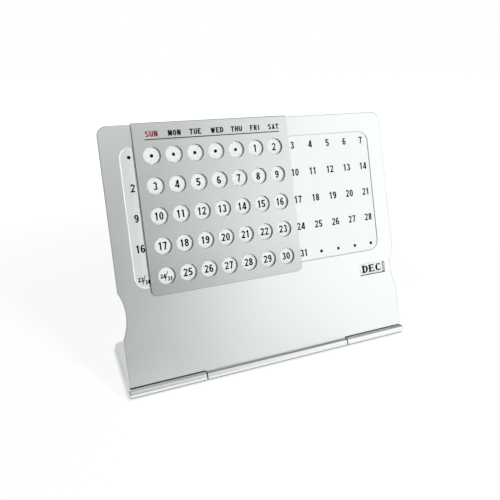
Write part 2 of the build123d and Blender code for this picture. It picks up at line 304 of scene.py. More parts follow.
def flat_bowl(bm, centre, reach, stroke, start, end):
    """Part of an oval ring, spun from one edge and drawn out to the oval's two reaches."""
    before = set(bm.verts)
    outer_end = Matrix.Rotation(radians(start), 3, "Z") @ Vector((1, 0, 0))
    inner_share = 0.5
    edge = bm.edges.new((bm.verts.new(outer_end), bm.verts.new(outer_end * inner_share)))
    turn = abs(end - start)
    bmesh.ops.spin(
        bm, geom=[edge, *edge.verts], axis=(0, 0, 1), cent=(0, 0, 0), angle=radians(end - start),
        steps=max(BOWL_STEPS_LEAST, round(BOWL_STEPS_FULL_TURN * turn / 360)), use_merge=turn >= 360,
    )
    ring = [vert for vert in bm.verts if vert not in before]
    between = (1 + inner_share) / 2
    outer = [vert for vert in ring if vert.co.length > between]
    inner = [vert for vert in ring if vert.co.length <= between]
    opening = (reach - stroke) / inner_share
    bmesh.ops.scale(bm, verts=outer, vec=(reach.x, reach.y, 1))
    bmesh.ops.scale(bm, verts=inner, vec=(opening.x, opening.y, 1))
    bmesh.ops.translate(bm, verts=ring, vec=(centre.x, centre.y, 0))


def draw_serif(bm, left, right, level, style):
    """A flat serif across a stroke's end, at the foot or the head of the sign."""
    thickness = style["cap"] * SERIF_THICKNESS
    low = level * (1 - thickness)
    flat_bar(bm, left - style["serif"], low, right + style["serif"], low + thickness)


def draw_stroke(bm, kind, place, width, style):
    """Draw one stroke of a sign that has the given width and a height of 1."""
    side, cap, serif = style["side"], style["cap"], style["serif"]
    if kind == "stem":
        left = place[0] * (width - side)
        flat_bar(bm, left, place[1], left + side, place[2])
        for level in place[1:]:
            if serif and level in (0, 1):
                draw_serif(bm, left, left + side, level, style)
    elif kind == "arm":
        low = min(max(place[0] - cap / 2, 0), 1 - cap)
        flat_bar(bm, place[1] * width, low, place[2] * width, low + cap)
    elif kind in ("slant", "thin"):
        foot, head = (Vector((side / 2 + x * (width - side), y)) for x, y in (place[0:2], place[2:4]))
        steepness = abs(head.y - foot.y) / (head - foot).length
        stroke = cap if kind == "thin" else side
        flat_slant(bm, foot, head, stroke / steepness * SLANT_THINNING)
    elif kind == "bowl":
        low = Vector((place[0] * width, place[1]))
        high = Vector((place[2] * width, place[3]))
        flat_bowl(bm, (low + high) / 2, (high - low) / 2, Vector((side, cap)), place[4], place[5])
    elif kind == "beak" and serif:
        flat_bar(bm, place[0] * width - serif, place[1], place[0] * width, place[2])
    elif kind == "foot" and serif:
        left = place[0] * (width - side)
        draw_serif(bm, left, left + side, place[1], style)


def draw_word(bm, word, style, height, place):
    """Draw a word of the given height with its middle at a place on the sheet, a 4 x 4 matrix."""
    strip = bmesh.new()
    reach = 0.0
    for sign in word:
        before = set(strip.verts)
        width = style["width"] * WIDE_SIGNS.get(sign, 1)
        for kind, *stroke_place in SIGNS[sign]:
            draw_stroke(strip, kind, stroke_place, width, style)
        fresh = [vert for vert in strip.verts if vert not in before]
        bmesh.ops.translate(strip, verts=fresh, vec=(reach, 0, 0))
        reach += width + style["gap"]
    reach -= style["gap"]
    centred = Matrix.Diagonal((height, height, 1, 1)) @ Matrix.Translation((-reach / 2, -0.5, 0))
    bmesh.ops.transform(strip, verts=strip.verts, matrix=place @ centred)
    join_sheet(bm, strip)


def draw_dot(bm, diameter, place):
    """Draw a round dot at a place on the sheet."""
    strip = bmesh.new()
    bmesh.ops.create_circle(strip, cap_ends=True, segments=DOT_SIDES, radius=diameter / 2)
    bmesh.ops.transform(strip, verts=strip.verts, matrix=place)
    join_sheet(bm, strip)


def join_sheet(bm, strip):
    """Move what one sheet holds to another, and free the first."""
    carrier = bpy.data.meshes.new("carrier")
    strip.to_mesh(carrier)
    strip.free()
    bm.from_mesh(carrier)
    bpy.data.meshes.remove(carrier)


def mesh_object(name, bm, material):
    """An object in the scene from a finished bmesh, which is freed."""
    mesh = bpy.data.meshes.new(name)
    bm.to_mesh(mesh)
    bm.free()
    mesh.materials.append(material)
    piece = bpy.data.objects.new(name, mesh)
    bpy.context.scene.collection.objects.link(piece)
    return piece


def print_piece(name, bm, place, material, body):
    """Give a flat print its thickness, lay it on its carrier and let it ride there."""
    thickness = bpy.context.scene.calendar_print.ink_thickness
    for face in bm.faces:
        face.normal_update()
        if face.normal.z < 0:
            face.normal_flip()
    raised = bmesh.ops.extrude_face_region(bm, geom=bm.faces[:])
    top = [item for item in raised["geom"] if isinstance(item, bmesh.types.BMVert)]
    bmesh.ops.translate(bm, verts=top, vec=(0, 0, thickness))
    bmesh.ops.recalc_face_normals(bm, faces=bm.faces)
    bmesh.ops.transform(bm, verts=bm.verts, matrix=place)
    piece = mesh_object(name, bm, material)
    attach(piece, body)


def front_of(node):
    """How far a node's foremost face stands in front of the leaf's face."""
    return max((vert.co - hinge_point).dot(out) for vert in frame["nodes"][node].data.vertices)


def at(x, y, turn=0.0):
    """Place on a sheet: a shift, and a turn about the sheet's own origin after it."""
    return Matrix.Rotation(turn, 4, "Z") @ Matrix.Translation((x, y, 0))


# Materials: bump heights in metres, noise scales per metre, and shares that darken and lighten a colour
BUMP_HEIGHT = 0.00002
NOISE_MIDDLE = (0.3, 0.7)
LEAF_SHARES = (0.985, 1.01)
# Shares of painted shade for gaps and rims, the knuckle's corner, the panel's step and the leaf's edges, and
# of a painted highlight on the step at the panel's left
PAINTED_SHADE_SHARES = (0.9, 1.1)
CORNER_SHADE_SHARES = (0.68, 0.72)
STEP_SHADE_SHARES = (0.72, 0.76)
EDGE_SHADE_SHARES = (0.82, 0.86)
HIGHLIGHT_STEP_SHARES = (1.11, 1.13)
PANEL_METAL = 0.14
PANEL_ROUGHNESS = 0.6
BARREL_ROUGHNESS = 0.36
WINDOW_ROUGHNESS = 0.25
WINDOW_WALL_ROUGHNESS = 0.06
# Shares of the slide's painted shade towards its foot together with its streaks
SLIDE_SHADE_AND_STREAK_SHARES = (0.835, 1.075)
SLIDE_STREAK_SHARE = 0.31
HAIRLINE_STRETCH = (60, 4200, 4200)
HAIRLINE_SHARE = 0.5
INK_GLOSS = 0.12


class Nodes:
    """A node tree under construction, with short ways to add to it."""

    def __init__(self, tree):
        self.tree = tree

    def node(self, kind, **values):
        """Add a node and set its plain properties."""
        node = self.tree.nodes.new(kind)
        for key, value in values.items():
            setattr(node, key, value)
        return node

    def link(self, source, target):
        """Join an output to an input."""
        self.tree.links.new(source, target)

    def feed(self, value, socket):
        """Give an input a number, or the output that it takes its value from."""
        if isinstance(value, (int, float)):
            socket.default_value = value
        else:
            self.link(value, socket)

    def maths(self, operation, *values):
        """One operation on up to three values, which may be sockets or numbers."""
        node = self.node("ShaderNodeMath", operation=operation)
        for value, socket in zip(values, node.inputs):
            self.feed(value, socket)
        return node.outputs["Value"]

    def below(self, value, limit):
        """1 where a value is less than a limit, and 0 elsewhere."""
        return self.maths("LESS_THAN", value, limit)

    def above(self, value, limit):
        """1 where a value is greater than a limit, and 0 elsewhere."""
        return self.maths("GREATER_THAN", value, limit)

    def near(self, value, middle, reach):
        """1 where a value is within reach of a middle, and 0 elsewhere."""
        return self.maths("COMPARE", value, middle, reach)

    def all_of(self, *masks):
        """The masks' product: 1 where each of them is 1."""
        product = masks[0]
        for mask in masks[1:]:
            product = self.maths("MULTIPLY", product, mask)
        return product

    def any_of(self, *masks):
        """The greatest of the masks: 1 where one of them is 1."""
        greatest = masks[0]
        for mask in masks[1:]:
            greatest = self.maths("MAXIMUM", greatest, mask)
        return greatest

    def ramp(self, source, start, end, low=0.0, high=1.0, kind="LINEAR"):
        """Go from low to high, numbers or sockets, as a source goes from start to end."""
        node = self.node("ShaderNodeMapRange", interpolation_type=kind)
        limits = {"Value": source, "From Min": start, "From Max": end, "To Min": low, "To Max": high}
        for name, value in limits.items():
            self.feed(value, node.inputs[name])
        return node.outputs["Result"]

    def parts(self, vector):
        """The three parts of a vector, as sockets."""
        node = self.node("ShaderNodeSeparateXYZ")
        self.link(vector, node.inputs["Vector"])
        return [node.outputs[axis] for axis in "XYZ"]

    def seen(self):
        """1 for rays that show the background: from the camera, in gloss and through glass."""
        path = self.node("ShaderNodeLightPath")
        kinds = ("Camera", "Glossy", "Transmission")
        return self.any_of(*(path.outputs[f"Is {kind} Ray"] for kind in kinds))


class Finish(Nodes):
    """A material under construction, with its shader and the masks of the calendar's places."""

    def __init__(self, name):
        self.material = bpy.data.materials.new(name)
        self.material.use_nodes = True
        super().__init__(self.material.node_tree)
        self.shader = self.tree.nodes["Principled BSDF"].inputs
        coordinates = self.node("ShaderNodeTexCoord")
        self.place = coordinates.outputs["Object"]
        self.normal = coordinates.outputs["Normal"]

    def noise(self, scale, detail=3.0, stretch=None):
        """Even noise in the object's own space, from 0 to 1, drawn out along the axes by stretch."""
        source = self.place
        if stretch:
            mapping = self.node("ShaderNodeMapping")
            mapping.inputs["Scale"].default_value = stretch
            self.link(self.place, mapping.inputs["Vector"])
            source = mapping.outputs["Vector"]
        node = self.node("ShaderNodeTexNoise")
        node.inputs["Scale"].default_value = scale
        node.inputs["Detail"].default_value = detail
        self.link(source, node.inputs["Vector"])
        return node.outputs["Fac"]

    def spread(self, source, low=0.0, high=1.0):
        """Stretch a noise's middle range to run from low to high."""
        return self.ramp(source, *NOISE_MIDDLE, low, high)

    def shade(self, colour, source, low, high):
        """The colour, darker and lighter by a source that runs from low to high shares."""
        node = self.node("ShaderNodeMix", data_type="RGBA")
        node.inputs["A"].default_value = (*(value * low for value in colour), 1)
        node.inputs["B"].default_value = (*(min(value * high, 1) for value in colour), 1)
        self.link(source, node.inputs["Factor"])
        return node.outputs["Result"]

    def mix(self, factor, first, second, data_type="FLOAT"):
        """Mix two sockets or numbers by a factor."""
        node = self.node("ShaderNodeMix", data_type=data_type)
        for name, value in {"Factor": factor, "A": first, "B": second}.items():
            self.feed(value, node.inputs[name])
        return node.outputs["Result"]

    def paint(self, colour, roughness, relief, strength, height=BUMP_HEIGHT, metallic=0.0):
        """Give the shader its colour, roughness and metal, and raise the surface by a relief."""
        self.link(colour, self.shader["Base Color"])
        self.link(roughness, self.shader["Roughness"])
        self.feed(metallic, self.shader["Metallic"])
        bump = self.node("ShaderNodeBump")
        bump.inputs["Strength"].default_value = strength
        bump.inputs["Distance"].default_value = height
        self.link(relief, bump.inputs["Height"])
        self.link(bump.outputs["Normal"], self.shader["Normal"])

    def turned_to(self, direction):
        """How far the surface faces a direction, from -1 to 1."""
        node = self.node("ShaderNodeVectorMath", operation="DOT_PRODUCT")
        self.link(self.normal, node.inputs[0])
        node.inputs[1].default_value = direction
        return node.outputs["Value"]

    @cached_property
    def leaf_spot(self):
        """Place along the hinge, up the leaf and in front of its face, as three sockets."""
        mapping = self.node("ShaderNodeMapping", vector_type="TEXTURE")
        mapping.inputs["Location"].default_value = hinge_point
        mapping.inputs["Rotation"].default_value = leaf_axes.to_euler()
        self.link(self.place, mapping.inputs["Vector"])
        return self.parts(mapping.outputs["Vector"])

    def in_panel(self, margin):
        """1 within a margin of the date panel's floor, at any depth, and 0 elsewhere."""
        x, y, _ = self.leaf_spot
        across = self.maths("ABSOLUTE", self.maths("SUBTRACT", x, GRID_SHIFT))
        from_middle = self.maths("ABSOLUTE", self.maths("SUBTRACT", y, PANEL_RISE))
        inside = self.below(across, PANEL_HALF_WIDTH + margin)
        return self.all_of(inside, self.below(from_middle, PANEL_HALF_HEIGHT + margin))

    @cached_property
    def panel_mask(self):
        """1 on the floor of the sunk date panel and 0 elsewhere."""
        sunk = self.near(self.leaf_spot[2], -PANEL_DEPTH, DEPTH_SLACK)
        return self.all_of(self.in_panel(0), sunk)

    @cached_property
    def step_mask(self):
        """1 on the sloped step round the date panel, which is painted darker as shade and lighter as a
        highlight at the left, and 0 elsewhere.
        """
        half = PANEL_DEPTH / 2
        between = self.near(self.leaf_spot[2], -half, half - DEPTH_SLACK / 2)
        return self.all_of(self.in_panel(PANEL_SLOPE_REACH), between)

    @cached_property
    def lit_step_mask(self):
        """1 on the sloped step at the panel's left, where a highlight is painted, going over to 0 along its
        foot and top.
        """
        x, y, _ = self.leaf_spot
        slanted = self.maths("MULTIPLY_ADD", self.maths("SUBTRACT", y, PANEL_RISE), STEP_FADE_SLANT, x)
        return self.all_of(self.step_mask, self.ramp(slanted, *STEP_FADE, kind="SMOOTHSTEP"))

    @cached_property
    def panel_fade(self):
        """Share of the panel's full lightness, which falls off towards its left edge."""
        return self.ramp(self.leaf_spot[0], *PANEL_FADE, kind="SMOOTHSTEP")

    @cached_property
    def slide_fade(self):
        """Painted shade on the slide: 0 at its foot, where it is darkest, going over to 1 at its middle."""
        return self.ramp(self.leaf_spot[1], *SLIDE_FOOT_SHADE, kind="SMOOTHSTEP")

    @cached_property
    def from_hinge(self):
        """Square of the distance from the hinge's axis."""
        _, y, z = self.leaf_spot
        return self.maths("MULTIPLY_ADD", z, z, self.maths("MULTIPLY", y, y))

    @cached_property
    def barrel_mask(self):
        """1 on the hinge barrel and 0 elsewhere."""
        return self.below(self.from_hinge, BARREL_REACH**2)

    @cached_property
    def split_mask(self):
        """1 on what stands in the two splits of the barrel, under its skin, where dark shade is painted, and
        0 elsewhere.
        """
        under = self.below(self.from_hinge, SPLIT_REACH**2)
        across = self.maths("ABSOLUTE", self.leaf_spot[0])
        return self.all_of(under, self.near(across, SPLIT_SIDE, SPLIT_HALF_WIDTH))

    @cached_property
    def slot_mask(self):
        """1 on the leaf's edge in the slot over the end knuckles, where dark shade is painted, and 0
        elsewhere.
        """
        _, y, z = self.leaf_spot
        return self.all_of(
            self.above(self.from_hinge, BARREL_REACH**2),
            self.below(y, SLOT_RISE),
            self.above(y, 0.0),
            self.below(z, -SLOT_DEPTHS[0]),
            self.above(z, -SLOT_DEPTHS[1]),
        )

    @cached_property
    def knuckle_corner_mask(self):
        """1 in the corner where the centre knuckle leaves the leaf's face, where shade is painted darker,
        and 0 elsewhere.
        """
        x, y, z = self.leaf_spot
        return self.all_of(
            self.below(self.maths("ABSOLUTE", x), SPLIT_SIDE),
            self.above(y, KNUCKLE_CORNER_RISE),
            self.above(z, DEPTH_SLACK),
        )

    def far_from(self, across, rise, middle):
        """Distance of the place across and up the leaf from a middle."""
        aside = self.maths("SUBTRACT", across, middle[0])
        above = self.maths("SUBTRACT", rise, middle[1])
        square = self.maths("MULTIPLY_ADD", aside, aside, self.maths("MULTIPLY", above, above))
        return self.maths("SQRT", square)

    @cached_property
    def edge_mask(self):
        """1 along the sides of the leaf, round its notches and upper corners, where shade is painted darker,
        and 0 elsewhere.
        """
        x, y, _ = self.leaf_spot
        across = self.maths("ABSOLUTE", x)
        side = self.above(across, LEAF_HALF_WIDTH - EDGE_WIDTH)
        from_notch = self.far_from(across, y, NOTCH_MIDDLE)
        notch = self.below(from_notch, NOTCH_RADIUS + EDGE_WIDTH)
        turn = (LEAF_HALF_WIDTH - LEAF_CORNER, LEAF_TOP - LEAF_CORNER)
        corner = self.all_of(
            self.above(self.far_from(across, y, turn), LEAF_CORNER - EDGE_WIDTH),
            self.above(across, turn[0]),
            self.above(y, turn[1]),
        )
        above_hinge = self.above(y, SLOT_RISE)
        return self.all_of(above_hinge, self.any_of(side, notch, corner))

    @cached_property
    def window_mask(self):
        """1 on the rolled edge and the walls of the month window, and 0 elsewhere."""
        x, y, z = self.leaf_spot
        return self.all_of(
            self.near(x, WINDOW_MIDDLE[0], WINDOW_HALVES[0]),
            self.near(y, WINDOW_MIDDLE[1], WINDOW_HALVES[1]),
            self.below(z, -DEPTH_SLACK),
        )

    @cached_property
    def window_foot_mask(self):
        """1 on the rolled lower edge of the month window, where dark shade is painted, and 0 elsewhere."""
        low = self.below(self.leaf_spot[1], WINDOW_MIDDLE[1] - WINDOW_HALF_OPENING)
        return self.all_of(self.window_mask, low)

    @cached_property
    def window_wall_mask(self):
        """1 on the straight walls of the month window, and 0 elsewhere."""
        straight = self.below(self.leaf_spot[2], -WINDOW_ROLL)
        return self.all_of(self.window_mask, straight)

    @cached_property
    def rim_mask(self):
        """1 on the slide's steep rims and its broken edges, where dark shade is painted over their own dull
        tone, and 0 on its faces and its bent top.
        """
        x, y, _ = self.leaf_spot
        slide_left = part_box("date_slide")[0].x
        flatness = self.maths("ABSOLUTE", self.turned_to(out))
        shaded_outline = self.any_of(
            self.below(x, slide_left + EDGE_WIDTH),
            self.below(y, SLIDE_FOOT + SLIDE_CORNER),
            self.above(self.turned_to(-along), LEFTWARD_SHARE),
        )
        broken_edge = self.all_of(shaded_outline, self.below(flatness, BREAK_STEEPNESS))
        rim = self.any_of(broken_edge, self.below(flatness, RIM_STEEPNESS))
        return self.all_of(rim, self.below(y, HOOK_RISE))


def satin_aluminium(finishes):
    """Blasted and anodised aluminium of leaf and base, with the pale floor of the date panel, painted shade
    and a painted highlight.
    """
    finish = Finish("satin_aluminium")
    cloud = finish.noise(scale=38.0, detail=2.0)
    grain = finish.noise(scale=5200.0, detail=2.0)
    patch = finish.spread(cloud)
    panel, highlight_step = finish.panel_mask, finish.lit_step_mask
    # Painted shade in the slot, the splits and along the window's lower edge
    shaded = finish.any_of(finish.slot_mask, finish.split_mask, finish.window_foot_mask)
    colour = finish.shade(finishes.leaf_metal, patch, *LEAF_SHARES)
    # Painted shade there, on the knuckle's corner, the panel's step and the leaf's edges, and a painted
    # highlight on the step at the panel's left
    for mask, layer, shares in (
        (shaded, finishes.slot_metal, PAINTED_SHADE_SHARES),
        (finish.knuckle_corner_mask, finishes.leaf_metal, CORNER_SHADE_SHARES),
        (finish.step_mask, finishes.leaf_metal, STEP_SHADE_SHARES),
        (finish.edge_mask, finishes.leaf_metal, EDGE_SHADE_SHARES),
        (highlight_step, finishes.panel_paint, HIGHLIGHT_STEP_SHARES),
    ):
        colour = finish.mix(mask, colour, finish.shade(layer, patch, *shares), "RGBA")
    floor = finish.shade(finishes.panel_paint, finish.panel_fade, PANEL_FADE_SHARE, 1.0)
    colour = finish.mix(panel, colour, floor, "RGBA")
    metallic = finish.mix(panel, finish.mix(highlight_step, 1.0, 0.0), PANEL_METAL)
    clouded = finish.spread(cloud, low=0.36, high=0.4)
    roughness = finish.maths("ADD", clouded, finish.spread(grain, low=-0.03, high=0.03))
    for mask, level in (
        (finish.barrel_mask, BARREL_ROUGHNESS),
        (finish.window_mask, WINDOW_ROUGHNESS),
        (finish.window_wall_mask, WINDOW_WALL_ROUGHNESS),
        (panel, PANEL_ROUGHNESS),
    ):
        roughness = finish.mix(mask, roughness, level)
    finish.paint(colour, roughness, relief=grain, strength=0.05, metallic=metallic)
    return finish.material


def brushed_aluminium(finishes):
    """Brushed and anodised aluminium of the date slide, with hairlines along it, painted shade towards its
    foot and rims painted dark as shade.
    """
    finish = Finish("brushed_aluminium")
    hairline = finish.noise(scale=1.0, stretch=HAIRLINE_STRETCH)
    cloud = finish.noise(scale=45.0, detail=2.0)
    streak = finish.spread(finish.mix(HAIRLINE_SHARE, cloud, hairline))
    # Painted shade darkens the slide towards its foot, mixed with its streaks
    level = finish.mix(SLIDE_STREAK_SHARE, finish.slide_fade, streak)
    face = finish.shade(finishes.slide_metal, level, *SLIDE_SHADE_AND_STREAK_SHARES)
    # Painted shade on the rims
    rim = finish.shade(finishes.slide_rim, finish.spread(cloud), *PAINTED_SHADE_SHARES)
    colour = finish.mix(finish.rim_mask, face, rim, "RGBA")
    roughness = finish.spread(hairline, low=0.33, high=0.42)
    finish.paint(colour, roughness, relief=hairline, strength=0.06, metallic=1.0)
    return finish.material


def turned_steel(finishes):
    """Bright turned steel of the pin and stud, with fine tool marks, and dark shade painted where the pin
    shows in the barrel's splits.
    """
    finish = Finish("turned_steel")
    mark = finish.noise(scale=2600.0, detail=2.0)
    metal = finish.shade(finishes.pin_metal, finish.spread(mark), low=0.94, high=1.03)
    # Painted shade where the pin shows in the barrel's splits
    split_shade = finish.shade(finishes.slot_metal, finish.spread(mark), *PAINTED_SHADE_SHARES)
    colour = finish.mix(finish.split_mask, metal, split_shade, "RGBA")
    roughness = finish.spread(mark, low=0.22, high=0.32)
    finish.paint(colour, roughness, relief=mark, strength=0.06, metallic=1.0)
    return finish.material


def hardened_steel(finishes):
    """Dull hardened steel of the washer and clip, with a mottled surface."""
    finish = Finish("hardened_steel")
    cloud = finish.noise(scale=420.0)
    metal = finish.shade(finishes.spring_metal, finish.spread(cloud), low=0.82, high=1.12)
    roughness = finish.spread(cloud, low=0.34, high=0.5)
    finish.paint(metal, roughness, relief=cloud, strength=0.08, height=0.00003, metallic=1.0)
    return finish.material


def matt_sheet(finishes):
    """Matt white sheet of the month disc."""
    finish = Finish("matt_sheet")
    fibre = finish.noise(scale=1500.0, detail=4.0)
    colour = finish.shade(finishes.disc_sheet, finish.spread(fibre), low=0.975, high=1.0)
    finish.paint(colour, finish.spread(fibre, low=0.55, high=0.68), relief=fibre, strength=0.08)
    return finish.material


def dull_grain(name, colour, scale, roughness):
    """A dull grained material, such as rubber, tape or ink."""
    finish = Finish(name)
    grain = finish.noise(scale)
    mottled = finish.shade(colour, finish.spread(grain), low=0.8, high=1.2)
    finish.paint(mottled, finish.spread(grain, *roughness), relief=grain, strength=0.1)
    return finish


def glide_tape(finishes):
    """Dark matt tape of the slide's glides."""
    return dull_grain("glide_tape", finishes.glide_tape, scale=2400.0, roughness=(0.6, 0.8)).material


def pad_rubber(finishes):
    """Black rubber of the pads."""
    return dull_grain("pad_rubber", finishes.pad_rubber, scale=1800.0, roughness=(0.65, 0.85)).material


def ink(name, colour):
    """Flat printing ink with hardly any gloss."""
    finish = dull_grain(name, colour, scale=2200.0, roughness=(0.6, 0.75))
    finish.shader["Specular IOR Level"].default_value = INK_GLOSS
    return finish.material


def dress(material, *nodes):
    """Put a material on the solids' own slots."""
    for name in nodes:
        mesh = frame["nodes"][name].data
        mesh.materials.clear()
        mesh.materials.append(material)


# Operators


class CALENDAR_OT_leaf_and_base(bpy.types.Operator):
    """Give the leaf and the base their satin aluminium"""

    bl_idname = "calendar.leaf_and_base"
    bl_label = "Leaf and base"

    def execute(self, context):
        dress(satin_aluminium(context.scene.calendar_finish), "front_leaf", "base_plate")
        return {"FINISHED"}


class CALENDAR_OT_date_slide(bpy.types.Operator):
    """Give the date slide its brushed aluminium and its glides their tape"""

    bl_idname = "calendar.date_slide"
    bl_label = "Date slide and glides"

    def execute(self, context):
        finishes = context.scene.calendar_finish
        dress(brushed_aluminium(finishes), "date_slide")
        dress(glide_tape(finishes), "glide_left", "glide_right")
        return {"FINISHED"}


class CALENDAR_OT_hinge_and_pivot(bpy.types.Operator):
    """Give the hinge pin, stud, washer and clip their steels"""

    bl_idname = "calendar.hinge_and_pivot"
    bl_label = "Hinge pin and disc pivot"

    def execute(self, context):
        finishes = context.scene.calendar_finish
        dress(turned_steel(finishes), "hinge_pin", "pivot_stud")
        dress(hardened_steel(finishes), "spring_washer", "retaining_clip")
        return {"FINISHED"}


class CALENDAR_OT_foot_pads(bpy.types.Operator):
    """Give the four pads under the base their rubber"""

    bl_idname = "calendar.foot_pads"
    bl_label = "Foot pads"

    def execute(self, context):
        pads = [name for name in frame["nodes"] if name.startswith("foot_pad")]
        dress(pad_rubber(context.scene.calendar_finish), *pads)
        return {"FINISHED"}


class CALENDAR_OT_printed_dates(bpy.types.Operator):
    """Print the dates on the floor of the sunk panel"""

    bl_idname = "calendar.printed_dates"
    bl_label = "Printed dates"

    def execute(self, context):
        sizes = context.scene.calendar_print
        sheet = bmesh.new()
        for row in range(DATE_ROWS):
            for column in range(DATE_COLUMNS):
                x = GRID_SHIFT + (column - (DATE_COLUMNS - 1) / 2) * COLUMN_PITCH
                y = MIDDLE_ROW_RISE + ((DATE_ROWS - 1) / 2 - row) * ROW_PITCH
                self.print_day(sheet, sizes, FIRST_DATE + DAYS_IN_WEEK * row + column, row, x, y)
        place = leaf_place @ Matrix.Translation((0, 0, -PANEL_DEPTH))
        print_piece("printed_dates", sheet, place, ink("date_ink", sizes.black_ink), "leaf")
        return {"FINISHED"}

    def print_day(self, sheet, sizes, day, row, x, y):
        """Print a dot, a date, or two dates that share the last row's place."""
        last_row = row == DATE_ROWS - 1
        if not 1 <= day <= LONGEST_MONTH:
            drop = LAST_DOT_DROP if last_row else 0.0
            draw_dot(sheet, sizes.dot_diameter, at(x, y - drop))
        elif last_row and day + DAYS_IN_WEEK <= LONGEST_MONTH:
            self.print_half_dates(sheet, sizes.half_date_height, (day, day + DAYS_IN_WEEK), x, y)
        else:
            draw_word(sheet, str(day), BLOCK_DIGITS, sizes.date_height, at(x, y))

    def print_half_dates(self, sheet, height, days, x, y):
        """Print two small dates with a slanted stroke between them."""
        for day, place in zip(days, HALF_DATE_PLACES):
            draw_word(sheet, str(day), SMALL_DIGITS, height, at(x + place.x * height, y + place.y * height))
        stroke = bmesh.new()
        foot, head = HALF_STROKE
        flat_slant(stroke, foot * height, head * height, HALF_STROKE_WIDTH * height)
        bmesh.ops.translate(stroke, verts=stroke.verts, vec=(x, y, 0))
        join_sheet(sheet, stroke)


class CALENDAR_OT_weekday_heads(bpy.types.Operator):
    """Print the weekday words and the line under them on the date slide"""

    bl_idname = "calendar.weekday_heads"
    bl_label = "Weekday heads"

    def execute(self, context):
        sizes = context.scene.calendar_print
        low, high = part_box("date_slide")
        middle = Vector(((low.x + high.x) / 2, MIDDLE_ROW_RISE, front_of("date_slide")))
        place = leaf_place @ Matrix.Translation(middle)
        sunday, others, line = bmesh.new(), bmesh.new(), bmesh.new()
        for column, word in enumerate(WEEKDAYS):
            x = (column - (DAYS_IN_WEEK - 1) / 2) * COLUMN_PITCH + WEEKDAY_SHIFTS[column]
            sheet = others if column else sunday
            draw_word(sheet, word, BLOCK_WORDS, sizes.head_height, at(x, sizes.head_rise))
        half, width, rise = sizes.line_half_length, sizes.line_width, sizes.line_rise
        flat_bar(line, LINE_SHIFT - half, rise - width / 2, LINE_SHIFT + half, rise + width / 2)
        print_piece("sunday_word", sunday, place, ink("head_ink_red", sizes.red_ink), "slide")
        print_piece("weekday_words", others, place, ink("head_ink", sizes.black_ink), "slide")
        print_piece("head_line", line, place, ink("line_ink", sizes.line_ink), "slide")
        return {"FINISHED"}


class CALENDAR_OT_month_disc(bpy.types.Operator):
    """Finish the month disc and print the twelve months round it"""

    bl_idname = "calendar.month_disc"
    bl_label = "Month disc"

    def execute(self, context):
        sizes = context.scene.calendar_print
        dress(matt_sheet(context.scene.calendar_finish), "month_disc")
        sheet = bmesh.new()
        for number, word in enumerate(MONTHS, start=1):
            place = at(sizes.month_reach, 0, number * 2 * pi / len(MONTHS))
            draw_word(sheet, word, SERIF_WORDS, sizes.month_height, place)
        place = disc_place @ Matrix.Translation((0, 0, front_of("month_disc")))
        print_piece("month_words", sheet, place, ink("month_ink", sizes.black_ink), "month_wheel")
        return {"FINISHED"}


# Stage: the floor, its glow and the dark patch under the calendar
FLOOR_SIZE = 4.0
FLOOR_WHITE = (0.95, 0.955, 0.953, 1)
FLOOR_ROUGHNESS = 0.9
FLOOR_GLOSS = 0.1
FLOOR_GLOW = 1.14
FLOOR_SHADOW_SHARE = 0.22
FLOOR_FADE = (0.1, 0.5)
CONTACT_HALVES = (0.064, 0.0175)
CONTACT_FADE = 0.003

# Key lamp
KEY_SIZE = 0.28
KEY_PLACE = (0.585, -1.21, 0.585)
KEY_TARGET = (0, 0, 0.05)

# Wall in front, dark at its left foot and light at the right, and the grey cards: size, place and target
WALL_TOP = 1.3
WALL_WIDTH = 2.55
WALL_PLACE = (0.025, -0.9, 0.65)
WALL_TARGET = (0.025, 0, 0.65)
WALL_TURN = (0.065, 0.18)
WALL_SLANT = 0.47
CARDS = {
    "far_floor_card": ((1.1, 1.1), (0.75, 0.5, 0.001), (0.75, 0.5, 1)),
    "back_card": ((2.6, 1.2), (-0.1, 1.3, 0.6), (-0.1, 0, 0.6)),
    "low_card": ((1.3, 0.86), (-0.6, -0.47, 0.001), (-0.6, -0.47, 1)),
    "right_floor_card": ((0.7, 0.86), (0.4, -0.47, 0.001), (0.4, -0.47, 1)),
    # Painted shade: a dark card under the hinge, seen only in gloss
    "contact_card": ((0.132, 0.012), (0, -0.0165, 0.0004), (0, -0.0165, 1)),
    "side_card": ((1.6, 0.6), (0.95, 0.65, 0.3), (0, 0.65, 0.3)),
    "top_card": ((1.4, 2.0), (-0.5, 0.1, 1.2), (-0.5, 0.1, 0)),
    "dark_card": ((1.5, 1.6), (0.8, 0.5, 1.0), (0, 0.5, 0.05)),
    "left_card": ((1.4, 1.2), (-1.2, -0.2, 0.61), (0, -0.2, 0.61)),
}
CARD_TINT = (1.0, 1.02, 1.0)

# Camera
SENSOR_WIDTH = 36.0
FRAME_SHIFT = (0.00063, -0.04597)
NEAREST_SEEN = 0.01


def white_room(strength):
    """World: white where it is seen, and an even soft light otherwise."""
    world = bpy.data.worlds.new("white_room")
    world.use_nodes = True
    room = Nodes(world.node_tree)
    back = room.tree.nodes["Background"]
    back.inputs["Color"].default_value = (1, 1, 1, 1)
    room.link(room.ramp(room.seen(), 0.0, 1.0, strength, 1.0), back.inputs["Strength"])
    bpy.context.scene.world = world


